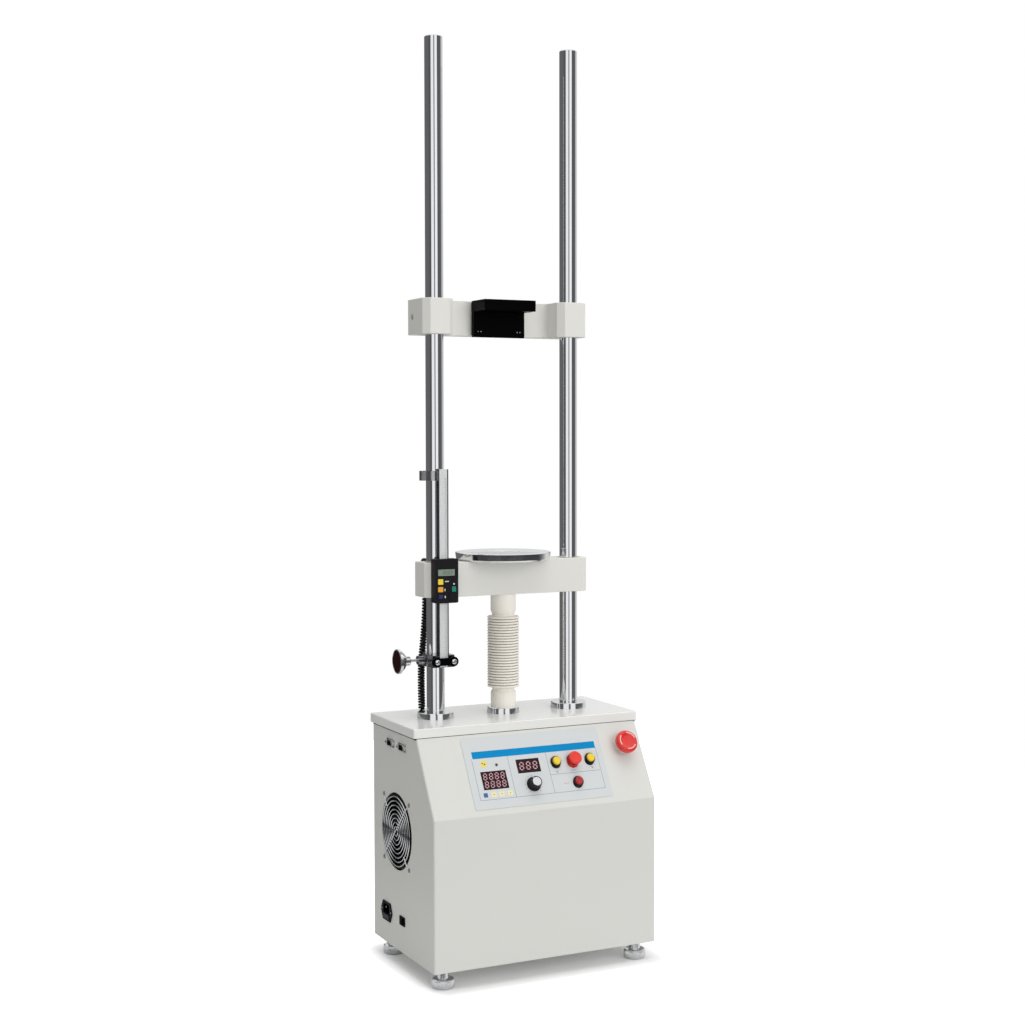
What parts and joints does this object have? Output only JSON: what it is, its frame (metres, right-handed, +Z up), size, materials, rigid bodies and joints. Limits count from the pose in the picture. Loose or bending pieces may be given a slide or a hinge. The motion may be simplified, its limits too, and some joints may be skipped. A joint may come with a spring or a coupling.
{
  "type": "universal testing machine",
  "caption": "Motorised bench test stand with two tall columns, a screw-driven crosshead with a compression plate, a clamped upper crosshead, a sloping control panel and a side fan.",
  "frame": {"origin": "on the floor under the test axis, midway between the columns", "axes": "+Z up, -Y towards the operator, +X to the operator's right"},
  "size_m": [0.4069, 0.2555, 1.5125],
  "materials": {
    "housing_paint": "fine satin paint",
    "beam_paint": "satin paint",
    "chrome": "polished",
    "ground_steel": "ground",
    "black_metal": "satin black",
    "pale_plastic": "matte",
    "black_plastic": "matte",
    "boot_plastic": "matte",
    "film": "printed film",
    "window": "tinted",
    "red_plastic": "gloss",
    "yellow_plastic": "gloss",
    "orange_plastic": "gloss",
    "blue_plastic": "gloss",
    "green_plastic": "gloss",
    "knob_plastic": "gloss",
    "cord_plastic": "satin",
    "belt_rubber": "matte",
    "bronze": "machined",
    "alloy": "machined"
  },
  "bodies": {
    "frame": {"housing_shell": "housing_paint", "rear_panel": "housing_paint", "bottom_plate": "housing_paint", "top_plate": "housing_paint", "columns": "chrome", "column_collars": "chrome", "boot_ring": "chrome", "boot": "boot_plastic", "panel_film": "film", "display_windows": "window", "button_collars": "black_plastic", "estop_body": "pale_plastic", "fan_frame": "black_metal", "fan_guard": "chrome", "power_inlet": "black_plastic", "rocker_frame": "black_plastic", "data_sockets": "chrome", "bearing_housing": "ground_steel", "motor_bracket": "ground_steel", "motor": "black_metal", "belt": "belt_rubber", "drive_unit": "alloy", "scale_rail": "alloy", "rail_upper_clamp": "chrome", "rail_lower_clamp": "chrome", "rail_link": "black_metal", "link_screws": "chrome", "cord_grommet": "black_plastic", "curly_cord": "cord_plastic"},
    "crosshead": {"crosshead_beam": "beam_paint", "crosshead_bushes": "bronze", "compression_plate": "chrome", "lead_screw": "ground_steel", "scale_case": "black_plastic", "cord_elbow": "black_plastic"},
    "upper_crosshead": {"upper_crosshead": "beam_paint", "clamp_screws": "black_metal", "load_bracket": "black_metal"},
    "nut": {"spindle_nut": "bronze", "nut_pulley": "alloy"},
    "motor_pulley": {"motor_pulley": "alloy"},
    "clamp_knob": {"clamp_knob": "knob_plastic"},
    "up_button": {"up_button": "yellow_plastic"},
    "down_button": {"down_button": "yellow_plastic"},
    "stop_button": {"stop_button": "red_plastic"},
    "power_button": {"power_button": "red_plastic"},
    "speed_knob": {"speed_knob": "black_plastic"},
    "estop_plunger": {"estop_plunger": "black_plastic"},
    "estop_head": {"estop_head": "red_plastic"},
    "rocker": {"rocker": "black_plastic"},
    "fan_rotor": {"fan_rotor": "black_plastic"},
    "foot_front_left": {"foot_front_left": "chrome"},
    "foot_front_right": {"foot_front_right": "chrome"},
    "foot_rear_left": {"foot_rear_left": "chrome"},
    "foot_rear_right": {"foot_rear_right": "chrome"},
    "fuse_drawer": {"fuse_drawer": "black_plastic"},
    "scale_key_yellow": {"scale_key_yellow": "yellow_plastic"},
    "scale_key_orange": {"scale_key_orange": "orange_plastic"},
    "scale_key_blue": {"scale_key_blue": "blue_plastic"},
    "scale_key_green": {"scale_key_green": "green_plastic"}
  },
  "joints": [
    {"name": "nut_spin", "type": "hinge", "parent": "frame", "child": "nut", "pos_m": [0, 0, 0.35], "axis": [0, 0, 1], "range_deg": [-3024, 4464]},
    {"name": "crosshead_slide", "type": "slide", "parent": "frame", "child": "crosshead", "axis": [0, 0, 1], "range_m": [-0.0841, 0.1241], "deforming": ["boot", "curly_cord"]},
    {"name": "motor_spin", "type": "hinge", "parent": "frame", "child": "motor_pulley", "pos_m": [0.11, 0, 0.3], "axis": [0, 0, 1], "range_deg": [-7260, 10716]},
    {"name": "upper_crosshead_slide", "type": "slide", "parent": "frame", "child": "upper_crosshead", "axis": [0, 0, 1], "range_m": [-0.215, 0.4]},
    {"name": "clamp_knob_turn", "type": "hinge", "parent": "frame", "child": "clamp_knob", "pos_m": [-0.16, 0, 0.499], "axis": [-1, 0, 0], "range_deg": [0, 720]},
    {"name": "estop_press", "type": "slide", "parent": "frame", "child": "estop_plunger", "axis": [0, 0.8626, -0.5059], "range_m": [0, 0.005]},
    {"name": "estop_twist", "type": "hinge", "parent": "estop_plunger", "child": "estop_head", "pos_m": [0.164, -0.12363, 0.3564], "axis": [0, -0.8626, 0.5059], "range_deg": [0, 45], "stiffness_Nm_per_rad": 0.02, "springref_deg": -11.46},
    {"name": "up_button_press", "type": "slide", "parent": "frame", "child": "up_button", "axis": [0, 0.8626, -0.5059], "range_m": [0, 0.0025], "stiffness_N_per_m": 120, "springref_m": -0.002},
    {"name": "stop_button_press", "type": "slide", "parent": "frame", "child": "stop_button", "axis": [0, 0.8626, -0.5059], "range_m": [0, 0.0025], "stiffness_N_per_m": 120, "springref_m": -0.002},
    {"name": "down_button_press", "type": "slide", "parent": "frame", "child": "down_button", "axis": [0, 0.8626, -0.5059], "range_m": [0, 0.0025], "stiffness_N_per_m": 120, "springref_m": -0.002},
    {"name": "power_button_press", "type": "slide", "parent": "frame", "child": "power_button", "axis": [0, 0.8626, -0.5059], "range_m": [0, 0.0025], "stiffness_N_per_m": 120, "springref_m": -0.002},
    {"name": "speed_knob_turn", "type": "hinge", "parent": "frame", "child": "speed_knob", "pos_m": [-0.015, -0.14537, 0.30945], "axis": [0, -0.8626, 0.5059], "range_deg": [-150, 150]},
    {"name": "scale_key_yellow_press", "type": "slide", "parent": "crosshead", "child": "scale_key_yellow", "axis": [0, 1, 0], "range_m": [0, 0.0008], "stiffness_N_per_m": 60, "springref_m": -0.001},
    {"name": "scale_key_orange_press", "type": "slide", "parent": "crosshead", "child": "scale_key_orange", "axis": [0, 1, 0], "range_m": [0, 0.0008], "stiffness_N_per_m": 60, "springref_m": -0.001},
    {"name": "scale_key_blue_press", "type": "slide", "parent": "crosshead", "child": "scale_key_blue", "axis": [0, 1, 0], "range_m": [0, 0.0008], "stiffness_N_per_m": 60, "springref_m": -0.001},
    {"name": "scale_key_green_press", "type": "slide", "parent": "crosshead", "child": "scale_key_green", "axis": [0, 1, 0], "range_m": [0, 0.0008], "stiffness_N_per_m": 60, "springref_m": -0.001},
    {"name": "rocker_tilt", "type": "hinge", "parent": "frame", "child": "rocker", "pos_m": [-0.19625, -0.0355, 0.0816], "axis": [0, 0, 1], "range_deg": [0, 16]},
    {"name": "fan_spin", "type": "hinge", "parent": "frame", "child": "fan_rotor", "pos_m": [-0.18, -0.012, 0.2234], "axis": [-1, 0, 0], "continuous": true},
    {"name": "foot_front_left_turn", "type": "hinge", "parent": "frame", "child": "foot_front_left", "pos_m": [-0.174, -0.139, 0.01], "axis": [0, 0, 1], "range_deg": [-720, 720]},
    {"name": "foot_front_right_turn", "type": "hinge", "parent": "frame", "child": "foot_front_right", "pos_m": [0.174, -0.139, 0.01], "axis": [0, 0, 1], "range_deg": [-720, 720]},
    {"name": "foot_rear_left_turn", "type": "hinge", "parent": "frame", "child": "foot_rear_left", "pos_m": [-0.174, 0.063, 0.01], "axis": [0, 0, 1], "range_deg": [-720, 720]},
    {"name": "foot_rear_right_turn", "type": "hinge", "parent": "frame", "child": "foot_rear_right", "pos_m": [0.174, 0.063, 0.01], "axis": [0, 0, 1], "range_deg": [-720, 720]},
    {"name": "fuse_drawer_slide", "type": "slide", "parent": "frame", "child": "fuse_drawer", "axis": [-1, 0, 0], "range_m": [0, 0.014]}
  ],
  "couplings": [
    {"joint": "crosshead_slide", "follows": "nut_spin", "m_per_rad": 0.0015915},
    {"joint": "motor_spin", "follows": "nut_spin", "ratio": 2.4}
  ]
}
